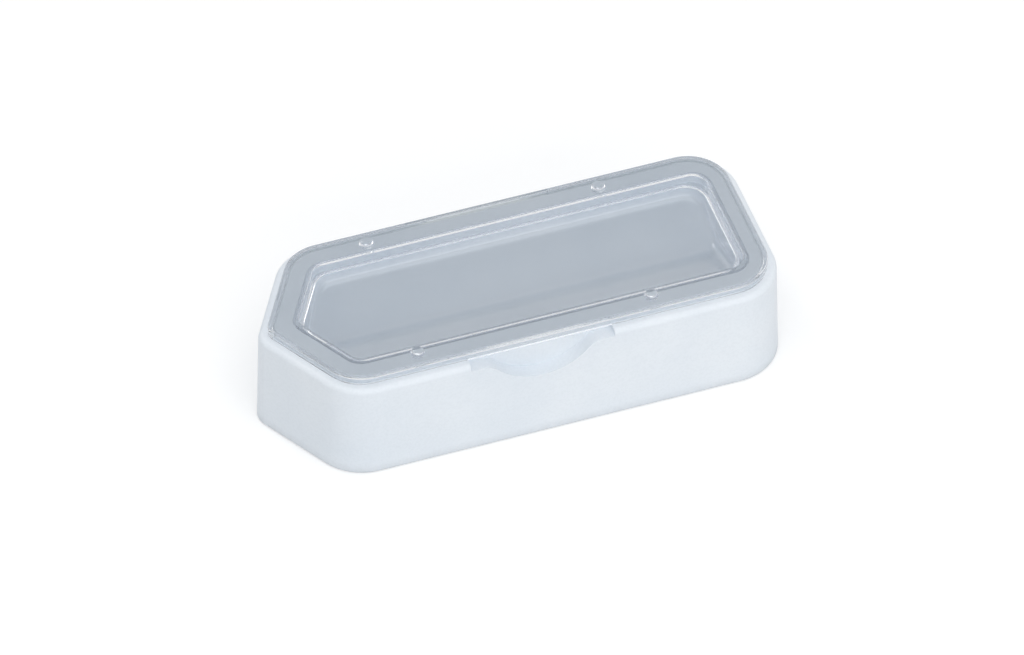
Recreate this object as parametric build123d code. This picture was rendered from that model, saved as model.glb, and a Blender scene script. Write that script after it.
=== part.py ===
"""Reagent reservoir for multichannel pipettes: a white base and the clear insert that drops on to it.

Seen from above, both pieces are a long rectangle with one square end and one pointed end, the bow,
whose tip is the corner that liquid is poured back from. The base is a thin shell, open underneath,
with a shallow cradle let into its top. The insert has a flat flange all round, a skirt that stands
on the base's ledge, and a trough that hangs inside the cradle without touching it.

The origin is on the surface that the base stands on, under the middle of its length. The square end
is at +X, the bow is at -X, and +Z is up. Lengths are millimetres and angles are degrees.
"""
import os
from math import cos, radians, sin, sqrt, tan

from build123d import *

# ---- base, outside -------------------------------------------------------------------------------
base_length = 138.6          # at the ledge, from the rounded bow tip to the square end
base_width = 56.2            # at the ledge
ledge_height = 30.2          # standing surface to ledge
wall_draft = 1.5             # the wall leans out towards the foot
bow_angle = 60.0             # between a bow wall and the length of the reservoir
base_corner_radius = 14.0
base_tip_radius = 5.0
ledge_edge_radius = 1.5
foot_edge_radius = 0.8

# ---- base, walls ---------------------------------------------------------------------------------
base_wall = 2.2              # outer wall
ledge_plate = 2.4            # thickness under the ledge
cradle_wall = 2.0            # sides and floor of the cradle

# ---- insert, flange and skirt --------------------------------------------------------------------
ledge_margin = 2.4           # ledge left bare round the insert
insert_wall = 1.2
skirt_height = 2.7           # ledge to the top of the flange
flange_edge_radius = 0.5
skirt_edge_radius = 0.3       # rounding of the edges that stand on the ledge
flange_side_width = 7.6      # outer edge of the flange to the mouth of the trough
flange_end_width = 6.5

# ---- insert, trough ------------------------------------------------------------------------------
mouth_edge_radius = 0.5
mouth_tip_radius = 3.0
mouth_draft = 4.0
shoulder_depth = 2.6         # flange top to the small shoulder below the mouth
shoulder_width = 0.8
well_corner_radius = 6.0
well_tip_radius = 5.0
well_draft = 9.0
valley_depth = 10.0          # flange top to the bottom of the valley
floor_slope = 14.0           # either side of the valley
valley_radius = 8.0
floor_fillet = 2.0

# ---- insert, stacking studs ----------------------------------------------------------------------
stud_diameter = 3.8
stud_height = 1.3
stud_crown_radius = 1.1      # rounding of the top of a stud
stud_spacing = 65.0          # along the length, about the middle
stud_inset = 4.4             # outer edge of the flange to the centre of a stud

# ---- cradle and locating rim ---------------------------------------------------------------------
skirt_clearance = 0.35       # inside of the skirt to the locating rim
rim_height = 1.3             # locating rim above the ledge
rim_edge_radius = 0.4
cradle_clearance = 0.6       # all round the outside of the trough

# ---- finger notches ------------------------------------------------------------------------------
notch_width = 40.0
notch_shoulder_depth = 1.7   # ledge to the shallow shoulders at either side of the notch
notch_depth = 9.2            # ledge to the lowest point of the notch
notch_radius = 17.0
notch_blend_radius = 6.0
notch_skin = 2.0             # wall left under and behind the notch

# ---- shared --------------------------------------------------------------------------------------
smallest_tip_radius = 3.0    # the bow tip of an inner outline is never sharper than this
overlap = 1.0                # cutting solids run this far past the face that they cut

# ---- worked out from the sizes above -------------------------------------------------------------
square_end_x = base_length / 2
flange_top_z = ledge_height + skirt_height
sharp_tip_x = -base_length / 2 - base_tip_radius * (1 / sin(radians(bow_angle)) - 1)
mouth_side_inset = ledge_margin + flange_side_width
mouth_end_inset = ledge_margin + flange_end_width
rim_inset = ledge_margin + insert_wall + skirt_clearance


def outline(inset, end_inset=None, corner_radius=None, tip_radius=None):
    """Plan outline of the reservoir, moved inwards from the edge of the ledge by the inset."""
    if end_inset is None:
        end_inset = inset
    if corner_radius is None:
        corner_radius = base_corner_radius - inset
    if tip_radius is None:
        tip_radius = max(base_tip_radius - inset, smallest_tip_radius)
    half_width = base_width / 2 - inset
    end_x = square_end_x - end_inset
    tip_x = sharp_tip_x + inset / sin(radians(bow_angle))
    bow_corner_x = tip_x + half_width / tan(radians(bow_angle))
    with BuildSketch() as sketch:
        with BuildLine():
            Polyline(
                (tip_x, 0),
                (bow_corner_x, -half_width),
                (end_x, -half_width),
                (end_x, half_width),
                (bow_corner_x, half_width),
                close=True,
            )
        make_face()
        points = sketch.vertices().sort_by(Axis.X)
        fillet(points[1:], corner_radius)
        tip = sketch.vertices().sort_by(Axis.X)[0]
        fillet(tip, tip_radius)
    return sketch.sketch


def block(plan, bottom_z, top_z, draft=0.0):
    """Solid with the plan outline at its top, narrowing downwards by the draft."""
    return Pos(0, 0, top_z) * extrude(plan, amount=top_z - bottom_z, dir=(0, 0, -1), taper=draft)


def over_valley(solid, drop, edge_radius):
    """The solid with its underside cut to a shallow V along the length, and its lower edges rounded.

    The drop is how far the V lies below the floor of the trough.
    """
    valley_z = flange_top_z - valley_depth - drop
    edge_y = base_width / 2
    edge_z = valley_z + edge_y * tan(radians(floor_slope))
    with BuildSketch(Plane.YZ) as section:
        with BuildLine():
            Polyline(
                (0, valley_z),
                (edge_y, edge_z),
                (edge_y, flange_top_z),
                (-edge_y, flange_top_z),
                (-edge_y, edge_z),
                close=True,
            )
        make_face()
        fillet(section.vertices().sort_by(Axis.Y)[0], valley_radius + drop)
    solid = solid & extrude(section.sketch, amount=base_length, both=True)

    steepest = -cos(radians(2 * floor_slope))
    underside = [face for face in solid.faces() if face.normal_at().Z < steepest]
    edges = [edge for face in underside for edge in face.edges()]
    outer_edges = [edge for edge in edges if sum(edge.is_same(other) for other in edges) == 1]
    return fillet(outer_edges, edge_radius)


def notch_space(skin):
    """Space of the two finger notches, grown by the skin. Their backs are in line with the locating rim."""
    top_z = ledge_height + rim_height + overlap
    shoulder_z = ledge_height - notch_shoulder_depth - skin
    bottom_z = ledge_height - notch_depth - skin
    half_width = notch_width / 2 + skin
    radius = notch_radius + skin
    scoop_half_width = sqrt(radius**2 - (bottom_z + radius - shoulder_z) ** 2)
    with BuildSketch(Plane.XZ) as profile:
        with BuildLine():
            Polyline(
                (scoop_half_width, shoulder_z),
                (half_width, shoulder_z),
                (half_width, top_z),
                (-half_width, top_z),
                (-half_width, shoulder_z),
                (-scoop_half_width, shoulder_z),
            )
            ThreePointArc(
                (-scoop_half_width, shoulder_z),
                (0, bottom_z),
                (scoop_half_width, shoulder_z),
            )
        make_face()
        joins = [
            profile.vertices().sort_by_distance((x, shoulder_z, 0))[0]
            for x in (-scoop_half_width, scoop_half_width)
        ]
        fillet(joins, notch_blend_radius - skin)
    reach = rim_inset + skin
    bar = extrude(profile.sketch, amount=reach + overlap)
    front = Pos(0, -base_width / 2 + reach, 0) * bar
    return front + mirror(front, Plane.XZ)


def trough(grow):
    """Space inside the trough. Grown by a wall, it is the solid that the trough is cut from.

    Grown by the clearance as well, it is the space of the cradle.
    """
    shoulder_z = flange_top_z - shoulder_depth
    mouth_outline = outline(
        mouth_side_inset - grow,
        mouth_end_inset - grow,
        base_corner_radius - mouth_side_inset + grow,
        mouth_tip_radius + grow,
    )
    mouth = block(mouth_outline, shoulder_z - grow, flange_top_z, mouth_draft)

    step = shoulder_depth * tan(radians(mouth_draft)) + shoulder_width
    well_outline = outline(
        mouth_side_inset + step - grow,
        mouth_end_inset + step - grow,
        well_corner_radius + grow,
        well_tip_radius + grow,
    )
    well = block(well_outline, flange_top_z - valley_depth - grow - overlap, shoulder_z, well_draft)
    return mouth + over_valley(well, grow, floor_fillet + grow)


def make_base():
    """White injection-moulded base."""
    body = block(outline(0), 0, ledge_height, -wall_draft)
    body = fillet(body.edges().group_by(Axis.Z)[-1], ledge_edge_radius)
    body = fillet(body.edges().group_by(Axis.Z)[0], foot_edge_radius)

    rim = block(outline(rim_inset), ledge_height - overlap, ledge_height + rim_height)
    rim = fillet(rim.edges().group_by(Axis.Z)[-1], rim_edge_radius)

    cradle_grow = insert_wall + cradle_clearance
    hollow = block(outline(base_wall), 0, ledge_height - ledge_plate, -wall_draft)
    hollow = hollow - trough(cradle_grow + cradle_wall) - notch_space(notch_skin)
    return body + rim - hollow - trough(cradle_grow) - notch_space(0)


def make_insert():
    """Clear polystyrene insert."""
    plate = block(outline(ledge_margin), ledge_height, flange_top_z)
    plate = fillet(plate.edges().group_by(Axis.Z)[-1], flange_edge_radius)
    under_flange = block(outline(ledge_margin + insert_wall), ledge_height, flange_top_z - insert_wall)
    shell = plate - under_flange + trough(insert_wall) - trough(0)

    flange_top = shell.faces().sort_by(Axis.Z)[-1]
    shell = fillet(flange_top.inner_wires()[0].edges(), mouth_edge_radius)
    skirt_edges = shell.edges().filter_by_position(Axis.Z, ledge_height, ledge_height)
    shell = fillet(skirt_edges, skirt_edge_radius)

    stud_root = insert_wall / 2
    stud = Cylinder(
        stud_diameter / 2,
        stud_height + stud_root,
        align=(Align.CENTER, Align.CENTER, Align.MAX),
    )
    stud = fillet(stud.edges().group_by(Axis.Z)[-1], stud_crown_radius)
    stud_y = base_width / 2 - ledge_margin - stud_inset
    for x in (-stud_spacing / 2, stud_spacing / 2):
        for y in (-stud_y, stud_y):
            shell = shell + Pos(x, y, flange_top_z + stud_height) * stud
    return shell


os.makedirs("parts", exist_ok=True)
export_step(make_base(), "parts/base.step")
export_step(make_insert(), "parts/insert.step")
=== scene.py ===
# %% [markdown]
# # A reagent reservoir in two moulded pieces
#
# A reservoir holds the liquid that a multichannel pipette draws from. This one is made of two
# mouldings: a white base that stays on the bench, and a clear insert that drops into it and is
# thrown away after use. Both have one square end and one pointed end, the bow, over which what is
# left of the liquid is poured back into its bottle.
#
# Both shapes are exact solids already, so they are loaded and not modelled again here. What is left
# for this lesson is how the two plastics look, and the light, floor and camera that show them.

# %% Load the two mouldings
from math import cos, radians, sin

import bpy
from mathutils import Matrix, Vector


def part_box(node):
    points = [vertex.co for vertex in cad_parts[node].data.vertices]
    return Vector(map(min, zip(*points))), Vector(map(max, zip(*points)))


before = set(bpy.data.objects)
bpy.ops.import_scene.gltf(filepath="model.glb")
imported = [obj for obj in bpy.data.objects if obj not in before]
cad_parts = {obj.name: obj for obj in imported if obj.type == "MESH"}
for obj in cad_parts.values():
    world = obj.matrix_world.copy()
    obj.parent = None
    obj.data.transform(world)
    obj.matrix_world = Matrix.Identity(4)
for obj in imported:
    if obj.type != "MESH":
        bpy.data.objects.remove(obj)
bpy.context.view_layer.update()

MM = 0.001
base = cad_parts["base"]
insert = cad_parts["insert"]
for name, piece in (("base", base), ("insert", insert)):
    low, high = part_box(name)
    size_mm = [round((end - start) / MM, 1) for start, end in zip(low, high)]
    print(name, "measures", size_mm, "mm and has", len(piece.data.polygons), "faces")

# %% [markdown]
# ## Helpers for colours, nodes and scales
#
# Colours are easiest to choose as sRGB hex values, as a paint chart gives them, but shaders work in
# linear light. One function makes the change, so no colour is ever typed in two ways.
#
# A material is a tree of nodes. Building one in code is the same three things over and over: make a
# node, set what it needs, link what feeds it. One function does all three for any kind of node. A
# value for a socket sets the socket, and another node's output links to it.
#
# The scale of a noise says how often it varies in one unit of length, which is a metre here. Grain
# and hairlines are thought of in millimetres, so a third function works the scale out from those.


# %% Helpers
def linear(hex_colour):
    """An sRGB hex colour as linear red, green, blue and alpha, by the sRGB standard's curve."""
    channels = [int(hex_colour[i : i + 2], 16) / 255 for i in (1, 3, 5)]
    light = [c / 12.92 if c <= 0.04045 else ((c + 0.055) / 1.055) ** 2.4 for c in channels]
    return (*light, 1.0)


def add_node(tree, kind, sockets=None, **settings):
    """Adds a node, sets its settings, and sets or links each of its input sockets."""
    node = tree.nodes.new(kind)
    for name, value in settings.items():
        setattr(node, name, value)
    for name, value in (sockets or {}).items():
        if isinstance(value, bpy.types.NodeSocket):
            tree.links.new(value, node.inputs[name])
        else:
            node.inputs[name].default_value = value
    return node


def per_metre(size_mm):
    """The noise scale that gives spots of about this size."""
    return 1 / (size_mm * MM)


def new_material(name):
    """An empty node material, and its tree."""
    material = bpy.data.materials.new(name)
    material.use_nodes = True
    material.node_tree.nodes.clear()
    return material, material.node_tree


WHITE = linear("#FFFFFF")
print("middle grey, #808080, is", round(linear("#808080")[0], 3), "in linear light")

# %% [markdown]
# ## The white base: injection-moulded polypropylene
#
# The base is moulded in a steel tool whose faces were given a fine, even matt grain. To the eye the
# plastic is a cool, slightly milky white with a soft sheen: the highlights are broad, and they
# follow gentle waves where the walls shrank a little as they cooled.
#
# A plain white would look like chalk or paint. So four things are layered:
# - a very slow drift of the white, tens of millimetres across, from pigment that mixed unevenly;
# - the first traces of use: a faintly greyer, duller band near the foot, where the base slides on
#   the bench, and short hairlines that lie along the walls;
# - the tool's grain, as small bumps, with a little shade painted into the white of their pits;
# - shallow waves, only a few hundredths of a millimetre deep.
#
# All of them read Object coordinates, so they stay put on the piece and have no seams. The white
# comes first: a slow noise goes through a colour ramp, whose two ends are set where that noise
# seldom goes any lower or higher.

# %% A white that drifts
DRIFT_MM = 38
WHITES = ((0.30, linear("#DEE5EC")), (0.72, linear("#E8EDF2")))

polypropylene, tree = new_material("injection_moulded_polypropylene")
place = add_node(tree, "ShaderNodeTexCoord").outputs["Object"]
drift = add_node(
    tree,
    "ShaderNodeTexNoise",
    {"Vector": place, "Scale": per_metre(DRIFT_MM), "Detail": 3.0, "Roughness": 0.55},
)
whites = add_node(tree, "ShaderNodeValToRGB", {"Fac": drift.outputs["Fac"]})
for stop, (position, colour) in zip(whites.color_ramp.elements, WHITES):
    stop.position = position
    stop.color = colour
print("the white drifts over about", DRIFT_MM, "mm")

# %% [markdown]
# ### A rubbed band at the foot
#
# Wear could be painted on, but then it would need an image. Here the height above the bench gives
# the band, strongest at the very foot, and a fine noise breaks it up into patches.

# %% The rubbed foot
FOOT_BAND_MM = 3.5
PATCH_MM = 2.2
RUBBED_GREY = linear("#C9CED3")

height = add_node(tree, "ShaderNodeSeparateXYZ", {"Vector": place}).outputs["Z"]
foot = add_node(
    tree,
    "ShaderNodeMapRange",
    {"Value": height, "From Min": FOOT_BAND_MM * MM, "From Max": 0.0},
    interpolation_type="SMOOTHSTEP",
)
patches = add_node(
    tree,
    "ShaderNodeTexNoise",
    {"Vector": place, "Scale": per_metre(PATCH_MM), "Detail": 5.0, "Roughness": 0.65},
)
rubbed = add_node(
    tree,
    "ShaderNodeMath",
    {0: foot.outputs["Result"], 1: patches.outputs["Fac"]},
    operation="MULTIPLY",
)
worn = add_node(
    tree,
    "ShaderNodeMix",
    {"Factor": rubbed.outputs["Value"], "A": whites.outputs["Color"], "B": RUBBED_GREY},
    data_type="RGBA",
)
print("the foot is rubbed up to", FOOT_BAND_MM, "mm above the bench")

# %% [markdown]
# ### The tool's grain
#
# The matt grain of such a tool is about 0.1 mm, too fine to show from here, so it is drawn at
# 0.8 mm. Real dents would take millions of faces. So it is a noise, and one that serves twice: its
# heights make the bumps further down, and where they are low, in the pits, a little shade is
# painted into the white.

# %% Grain with shade painted into its pits
GRAIN_MM = 0.8
PIT_RIM = 0.56
PIT_BOTTOM = 0.36
PIT_SHADE = 0.075
PIT_SHADE_GREY = linear("#B9C0C7")

grain = add_node(
    tree,
    "ShaderNodeTexNoise",
    {"Vector": place, "Scale": per_metre(GRAIN_MM), "Detail": 2.0, "Roughness": 0.6},
)
pits = add_node(
    tree,
    "ShaderNodeMapRange",
    {
        "Value": grain.outputs["Fac"],
        "From Min": PIT_RIM,
        "From Max": PIT_BOTTOM,
        "To Max": PIT_SHADE,
    },
)
# painted shade: where the grain is low, in its pits, the white is mixed towards a grey
colour_with_pit_shade = add_node(
    tree,
    "ShaderNodeMix",
    {"Factor": pits.outputs["Result"], "A": worn.outputs["Result"], "B": PIT_SHADE_GREY},
    data_type="RGBA",
)
print("grain is drawn at", GRAIN_MM, "mm")

# %% [markdown]
# ### Sheen and hairlines
#
# Roughness says how soft the sheen is. It drifts a little together with the white, and it rises
# where the plastic was touched. Hairlines are a fine noise whose coordinates are squeezed along the
# length. That draws its spots out into strokes about 11 mm long, of which only the highest peaks
# count.

# %% How dull the plastic is
HAIRLINE_MM = 0.5
HAIRLINE_SQUEEZE = 0.045
HAIRLINE_STARTS = 0.62
HAIRLINE_FULL = 0.78
DRIFT_LOW = 0.3
DRIFT_HIGH = 0.7
GLOSSIEST = 0.40
MATTEST = 0.46
HAIRLINE_DULLS_BY = 0.08
RUBBING_DULLS_BY = 0.25

squeezed = add_node(
    tree, "ShaderNodeMapping", {"Vector": place, "Scale": (HAIRLINE_SQUEEZE, 1.0, 1.0)}
)
hairlines = add_node(
    tree,
    "ShaderNodeTexNoise",
    {"Vector": squeezed.outputs["Vector"], "Scale": per_metre(HAIRLINE_MM), "Detail": 2.0},
)
scratched = add_node(
    tree,
    "ShaderNodeMapRange",
    {"Value": hairlines.outputs["Fac"], "From Min": HAIRLINE_STARTS, "From Max": HAIRLINE_FULL},
)
sheen = add_node(
    tree,
    "ShaderNodeMapRange",
    {
        "Value": drift.outputs["Fac"],
        "From Min": DRIFT_LOW,
        "From Max": DRIFT_HIGH,
        "To Min": GLOSSIEST,
        "To Max": MATTEST,
    },
)
duller = add_node(
    tree,
    "ShaderNodeMath",
    {0: scratched.outputs["Result"], 1: HAIRLINE_DULLS_BY, 2: sheen.outputs["Result"]},
    operation="MULTIPLY_ADD",
)
dullest = add_node(
    tree,
    "ShaderNodeMath",
    {0: rubbed.outputs["Value"], 1: RUBBING_DULLS_BY, 2: duller.outputs["Value"]},
    operation="MULTIPLY_ADD",
)
print("untouched plastic has a roughness from", GLOSSIEST, "to", MATTEST)

# %% [markdown]
# ### Waves, and the finished plastic
#
# The waves could be modelled, but they are so shallow that only the highlights give them away, and
# the solid should keep its exact size. So they are a bump. It tilts the surface by very little, but
# over a good centimetre, and the highlights bend with it. The grain's bump is stacked on top and
# scatters the light.

# %% Bumps and shader of the base
WAVE_MM = 14
WAVE_DEPTH_MM = 0.05
GRAIN_DEPTH_MM = 0.045

waves = add_node(
    tree, "ShaderNodeTexNoise", {"Vector": place, "Scale": per_metre(WAVE_MM), "Detail": 1.0}
)
waved = add_node(
    tree,
    "ShaderNodeBump",
    {"Height": waves.outputs["Fac"], "Strength": 0.6, "Distance": WAVE_DEPTH_MM * MM},
)
grained = add_node(
    tree,
    "ShaderNodeBump",
    {
        "Height": grain.outputs["Fac"],
        "Normal": waved.outputs["Normal"],
        "Strength": 0.5,
        "Distance": GRAIN_DEPTH_MM * MM,
    },
)
plastic = add_node(
    tree,
    "ShaderNodeBsdfPrincipled",
    {
        "Base Color": colour_with_pit_shade.outputs["Result"],
        "Roughness": dullest.outputs["Value"],
        "IOR": 1.49,
        "Normal": grained.outputs["Normal"],
    },
)
add_node(tree, "ShaderNodeOutputMaterial", {"Surface": plastic.outputs["BSDF"]})
base.data.materials[0] = polypropylene
print("base wears", polypropylene.name, "with", len(tree.nodes), "nodes")

# %% [markdown]
# ## The clear insert: injection-moulded polystyrene
#
# Crystal polystyrene is as clear as glass and bends light even more, with an IOR of 1.59. The eye
# finds it by its edges: soft light and dark lines along the rounded mouth and the skirt, rings
# round the studs, and a cool grey over the white behind it.
#
# A moulded sheet is never quite flat either, so what is mirrored in it wobbles a little. That is a
# slow noise, drawn out along the length, because the plastic flowed that way in the mould.

# %% Waves from moulding
FLOW_MM = 9
FLOW_SQUEEZE = 0.35
FLOW_DEPTH_MM = 0.02

polystyrene, tree = new_material("injection_moulded_polystyrene")
place = add_node(tree, "ShaderNodeTexCoord").outputs["Object"]
squeezed = add_node(
    tree, "ShaderNodeMapping", {"Vector": place, "Scale": (FLOW_SQUEEZE, 1.0, 1.0)}
)
flow = add_node(
    tree,
    "ShaderNodeTexNoise",
    {"Vector": squeezed.outputs["Vector"], "Scale": per_metre(FLOW_MM), "Detail": 2.0},
)
flowed = add_node(
    tree,
    "ShaderNodeBump",
    {"Height": flow.outputs["Fac"], "Strength": 0.5, "Distance": FLOW_DEPTH_MM * MM},
)
print("waves from moulding are", FLOW_DEPTH_MM, "mm deep")

# %% [markdown]
# ### Haze and hairlines
#
# Even new polystyrene has a little haze, which softens what is seen through it. It also carries
# hairlines from the sleeve that it was packed in, where it is hazier. They lie at a slant, since
# the insert slid out of its sleeve with a slight turn.

# %% How hazy the insert is
LINE_MM = 0.35
LINE_SQUEEZE = 0.03
LINE_TURN = radians(17)
LINE_STARTS = 0.66
LINE_FULL = 0.80
HAZE = 0.09
LINE_ADDS = 0.12

turned = add_node(
    tree,
    "ShaderNodeMapping",
    {"Vector": place, "Rotation": (0, 0, LINE_TURN), "Scale": (LINE_SQUEEZE, 1.0, 1.0)},
)
line_noise = add_node(
    tree,
    "ShaderNodeTexNoise",
    {"Vector": turned.outputs["Vector"], "Scale": per_metre(LINE_MM), "Detail": 1.0},
)
lines = add_node(
    tree,
    "ShaderNodeMapRange",
    {"Value": line_noise.outputs["Fac"], "From Min": LINE_STARTS, "From Max": LINE_FULL},
)
haze = add_node(
    tree,
    "ShaderNodeMath",
    {0: lines.outputs["Result"], 1: LINE_ADDS, 2: HAZE},
    operation="MULTIPLY_ADD",
)
print("haze is", HAZE, "and reaches", HAZE + LINE_ADDS, "in a hairline")

# %% [markdown]
# ### A painted grey that follows how a face lies
#
# A clear part never looks equally grey all over. Level faces, such as the flange and the floor of
# the trough, mirror the dim room above and look greyest. Upright ones, such as the skirt, mirror
# the white table and nearly vanish. The plastic itself has no grey, so this grey is painted
# reflection, together with painted shade of the base under it, put into the colour of the glass
# and mixed by how level a face is. That is the Z of its direction, which is 0 on an upright face
# and 1 on a level one, with the sign left off for faces that look down.

# %% Painted grey of the insert
UPRIGHT_PAINTED_GREY = linear("#E6E9EB")
LEVEL_PAINTED_GREY = linear("#CACFD3")
UPRIGHT_UP_TO = 0.2
LEVEL_FROM = 0.8

facing = add_node(tree, "ShaderNodeTexCoord").outputs["Normal"]
tilt = add_node(tree, "ShaderNodeSeparateXYZ", {"Vector": facing})
level = add_node(tree, "ShaderNodeMath", {0: tilt.outputs["Z"]}, operation="ABSOLUTE")
lies = add_node(
    tree,
    "ShaderNodeMapRange",
    {"Value": level.outputs["Value"], "From Min": UPRIGHT_UP_TO, "From Max": LEVEL_FROM},
)
# painted reflection and shade: level faces get the darker grey, upright ones the paler
painted_grey = add_node(
    tree,
    "ShaderNodeMix",
    {"Factor": lies.outputs["Result"], "A": UPRIGHT_PAINTED_GREY, "B": LEVEL_PAINTED_GREY},
    data_type="RGBA",
)
painted_greys = [round(colour[0], 2) for colour in (UPRIGHT_PAINTED_GREY, LEVEL_PAINTED_GREY)]
print("upright and level faces let through", painted_greys, "of red light")

# %% [markdown]
# ### Glass to look at, see-through to light
#
# A render would need very many samples to find the lamps through glass. So the material is glass
# for what the camera sees, and plainly see-through for light on its way to the base: Light Path
# tells the two kinds of ray apart. The painted grey belongs to the glass alone. Light on its way
# down crosses the wall at a slant, some of it more than once, and a grey added at every crossing
# would put the base under the trough in deep shade. So that side is almost free of tint.
#
# A ray that enters the rim of a clear moulding is also thrown from face to face inside the wall,
# often dozens of times, and leaves it anywhere. Few samples catch such paths evenly, so the edges
# would look frayed. Here a ray meets glass at its first four faces, which takes it through two
# walls, and goes straight on through any that follow. That keeps the bright lines clean. Ray Depth
# counts the faces already passed in whole numbers, so the limit lies half-way between two of them.

# %% Shader of the insert
FACES_OF_GLASS = 4
NEARLY_CLEAR = linear("#FAFAFB")

clear = add_node(
    tree,
    "ShaderNodeBsdfPrincipled",
    {
        "Base Color": painted_grey.outputs["Result"],
        "Roughness": haze.outputs["Value"],
        "IOR": 1.59,
        "Transmission Weight": 1.0,
        "Normal": flowed.outputs["Normal"],
    },
)
see_through = add_node(tree, "ShaderNodeBsdfTransparent", {"Color": NEARLY_CLEAR})
ray = add_node(tree, "ShaderNodeLightPath")
lighting = add_node(
    tree,
    "ShaderNodeMath",
    {0: ray.outputs["Is Shadow Ray"], 1: ray.outputs["Is Diffuse Ray"]},
    operation="MAXIMUM",
)
trapped = add_node(
    tree,
    "ShaderNodeMath",
    {0: ray.outputs["Ray Depth"], 1: FACES_OF_GLASS - 0.5},
    operation="GREATER_THAN",
)
unbent = add_node(
    tree,
    "ShaderNodeMath",
    {0: lighting.outputs["Value"], 1: trapped.outputs["Value"]},
    operation="MAXIMUM",
)
glass_or_not = add_node(
    tree,
    "ShaderNodeMixShader",
    {0: unbent.outputs["Value"], 1: clear.outputs["BSDF"], 2: see_through.outputs["BSDF"]},
)
add_node(tree, "ShaderNodeOutputMaterial", {"Surface": glass_or_not.outputs["Shader"]})
insert.data.materials[0] = polystyrene
print("insert wears", polystyrene.name, "with", len(tree.nodes), "nodes")

# %% [markdown]
# ## A white floor that keeps the shadow
#
# Catalogues stand a part on pure white. A floor that is only bright paint never gets quite there,
# and more light on it would also bleach the part. So the floor is matt paint plus a little glow
# that only the camera, mirrors and glass can see. The glow lifts the lit floor to white, and since
# it casts no light, the part and its shadow stay as the lamps make them.


# %% Floor
def where_seen(tree):
    """1 for rays from the camera, a mirror or clear plastic, and 0 for rays that carry light."""
    ray = add_node(tree, "ShaderNodeLightPath")
    seen = add_node(
        tree,
        "ShaderNodeMath",
        {0: ray.outputs["Is Camera Ray"], 1: ray.outputs["Is Glossy Ray"]},
        operation="MAXIMUM",
    )
    seen = add_node(
        tree,
        "ShaderNodeMath",
        {0: seen.outputs["Value"], 1: ray.outputs["Is Transmission Ray"]},
        operation="MAXIMUM",
    )
    return seen.outputs["Value"]


FLOOR_SIZE = 12.0
FLOOR_GLOW = 0.28
FLOOR_PAINT = linear("#E6E6E6")

bpy.ops.mesh.primitive_plane_add(size=FLOOR_SIZE, location=(0, 0, 0))
floor = bpy.context.object
floor.name = "floor"

paper, tree = new_material("white_backdrop_paper")
dimmed = add_node(
    tree, "ShaderNodeMath", {0: where_seen(tree), 1: FLOOR_GLOW}, operation="MULTIPLY"
)
glow = add_node(
    tree, "ShaderNodeEmission", {"Color": WHITE, "Strength": dimmed.outputs["Value"]}
)
paint = add_node(tree, "ShaderNodeBsdfDiffuse", {"Color": FLOOR_PAINT})
both = add_node(
    tree, "ShaderNodeAddShader", {0: paint.outputs["BSDF"], 1: glow.outputs["Emission"]}
)
add_node(tree, "ShaderNodeOutputMaterial", {"Surface": both.outputs["Shader"]})
floor.data.materials.append(paper)
print("floor is", FLOOR_SIZE, "m across")

# %% [markdown]
# ## A pale world
#
# The world is the light that comes from all sides. A studio recorded as an image would do, but a
# plain pale colour is just as soft and needs no file. As with the floor, what is seen or mirrored
# of it is white, and what gives light is dimmer.

# %% World
SURROUND = linear("#F4F6F8")
SURROUND_STRENGTH = 0.62

world = bpy.data.worlds.new("studio")
bpy.context.scene.world = world
world.use_nodes = True
tree = world.node_tree
tree.nodes.clear()
surround = add_node(
    tree, "ShaderNodeBackground", {"Color": SURROUND, "Strength": SURROUND_STRENGTH}
)
white = add_node(tree, "ShaderNodeBackground", {"Color": WHITE, "Strength": 1.0})
lit_or_seen = add_node(
    tree,
    "ShaderNodeMixShader",
    {0: where_seen(tree), 1: surround.outputs["Background"], 2: white.outputs["Background"]},
)
add_node(tree, "ShaderNodeOutputWorld", {"Surface": lit_or_seen.outputs["Shader"]})
print("the world gives", SURROUND_STRENGTH, "of full white")

# %% [markdown]
# ## Soft studio light
#
# Small lamps make hard shadows and pin-point highlights. Plastic is usually lit by large soft
# boxes, whose reflections are what shows its sheen. Here a very wide one hangs above, so both sides
# of the trough's floor get nearly the same light, and a second one in front lights the long wall. A
# small bright one at the back draws the lines along the clear edges, and a dim one at the right
# lifts the square end.
#
# The wide boxes are about as bright as the white around them, so clear plastic mirrors them without
# a patch.


# %% Lamps
def soft_box(name, place, size, power):
    """A rectangular lamp at a place, in metres, that faces the reservoir."""
    lamp = bpy.data.lights.new(name, "AREA")
    lamp.shape = "RECTANGLE"
    lamp.size, lamp.size_y = size
    lamp.energy = power
    box = bpy.data.objects.new(name, lamp)
    box.location = place
    box.rotation_mode = "QUATERNION"
    box.rotation_quaternion = (-Vector(place)).to_track_quat("-Z", "Y")
    bpy.context.scene.collection.objects.link(box)
    print(name, "gives", power, "W")


soft_box("box_above", place=(0.0, -0.45, 1.25), size=(1.6, 1.2), power=6.0)
soft_box("box_front", place=(0.0, -1.2, 0.48), size=(1.8, 0.8), power=5.2)
soft_box("box_back", place=(-0.5, 0.9, 0.9), size=(0.5, 0.5), power=2.0)
soft_box("box_right", place=(1.0, 0.45, 0.55), size=(0.5, 0.7), power=0.6)

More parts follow.
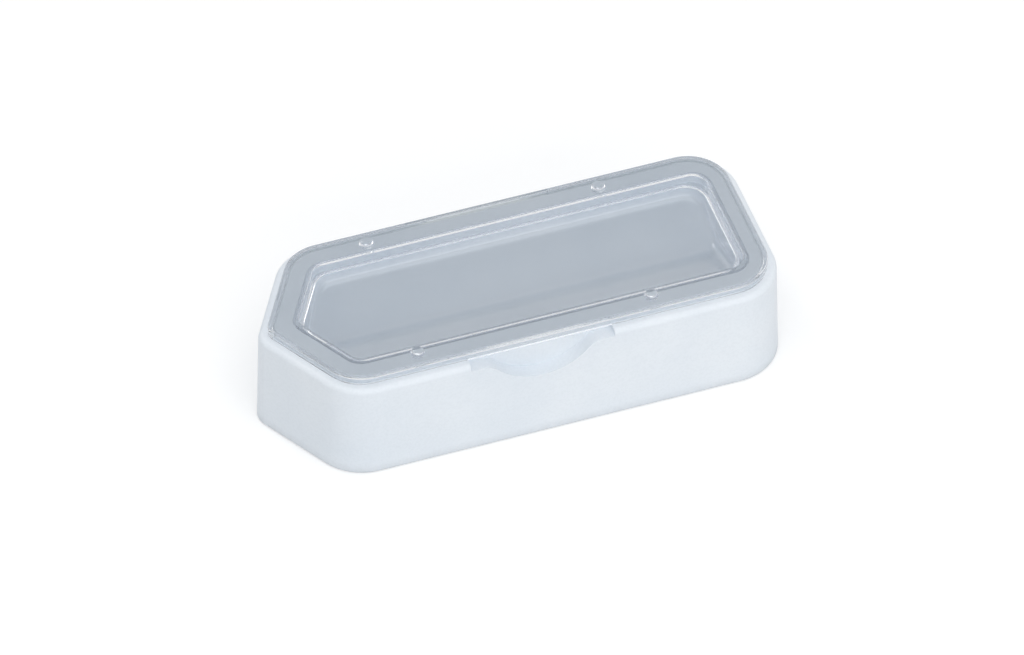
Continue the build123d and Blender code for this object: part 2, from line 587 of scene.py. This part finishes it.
# %% [markdown]
# ## Camera
#
# An orthographic camera would draw the two long sides of the reservoir exactly parallel, as a plan
# does. A long lens from far away keeps them nearly so and still gives a little depth. The camera
# stands at the front left, half-way between level and straight down. It aims at the middle of the
# part, half-way up, and a touch to the right of and below that, which frames the whole of it.

# %% Camera
AZIMUTH = radians(-19.0)
ELEVATION = radians(45.6)
DISTANCE = 3.18
LENS_MM = 422
AIM_HEIGHT_MM = 15
AIM_RIGHT_MM = 0.9
AIM_BELOW_MM = 2.7
NEAREST_SEEN = 0.1
FARTHEST_SEEN = 50

right = Vector((cos(AZIMUTH), sin(AZIMUTH), 0))
back = Vector((sin(AZIMUTH) * cos(ELEVATION), -cos(AZIMUTH) * cos(ELEVATION), sin(ELEVATION)))
up = back.cross(right)
middle = Vector((0, 0, AIM_HEIGHT_MM * MM))
aim = middle + right * AIM_RIGHT_MM * MM - up * AIM_BELOW_MM * MM

camera_data = bpy.data.cameras.new("camera")
camera_data.lens = LENS_MM
camera_data.clip_start = NEAREST_SEEN
camera_data.clip_end = FARTHEST_SEEN
camera = bpy.data.objects.new("camera", camera_data)
camera.location = aim + back * DISTANCE
camera.rotation_mode = "QUATERNION"
camera.rotation_quaternion = back.to_track_quat("Z", "Y")
bpy.context.scene.collection.objects.link(camera)
bpy.context.scene.camera = camera
print("camera stands", DISTANCE, "m from the reservoir")

# %% [markdown]
# ## Enough bounces for clear plastic
#
# Cycles gives up on a ray after a few bounces and calls what is left black, which draws inky lines
# that real polystyrene doesn't have. Passing through a face of glass counts as a transmission
# bounce, being thrown back inside the wall counts as a glossy one, and going straight on through a
# face has a limit of its own. All are raised a little, so that every ray finds its way out.

# %% Bounces
MOST_TURNS = 16
MOST_CROSSINGS = 32

cycles = bpy.context.scene.cycles
cycles.max_bounces = MOST_TURNS
cycles.transmission_bounces = MOST_TURNS
cycles.glossy_bounces = MOST_TURNS
cycles.transparent_max_bounces = MOST_CROSSINGS
print("a ray may turn", MOST_TURNS, "times and go straight on", MOST_CROSSINGS, "times")

# %% [markdown]
# ## Finish
#
# The picture is shown with the Standard view transform, and the scene is brought up to date.

# %% Finish
bpy.context.scene.view_settings.view_transform = "Standard"
bpy.context.view_layer.update()
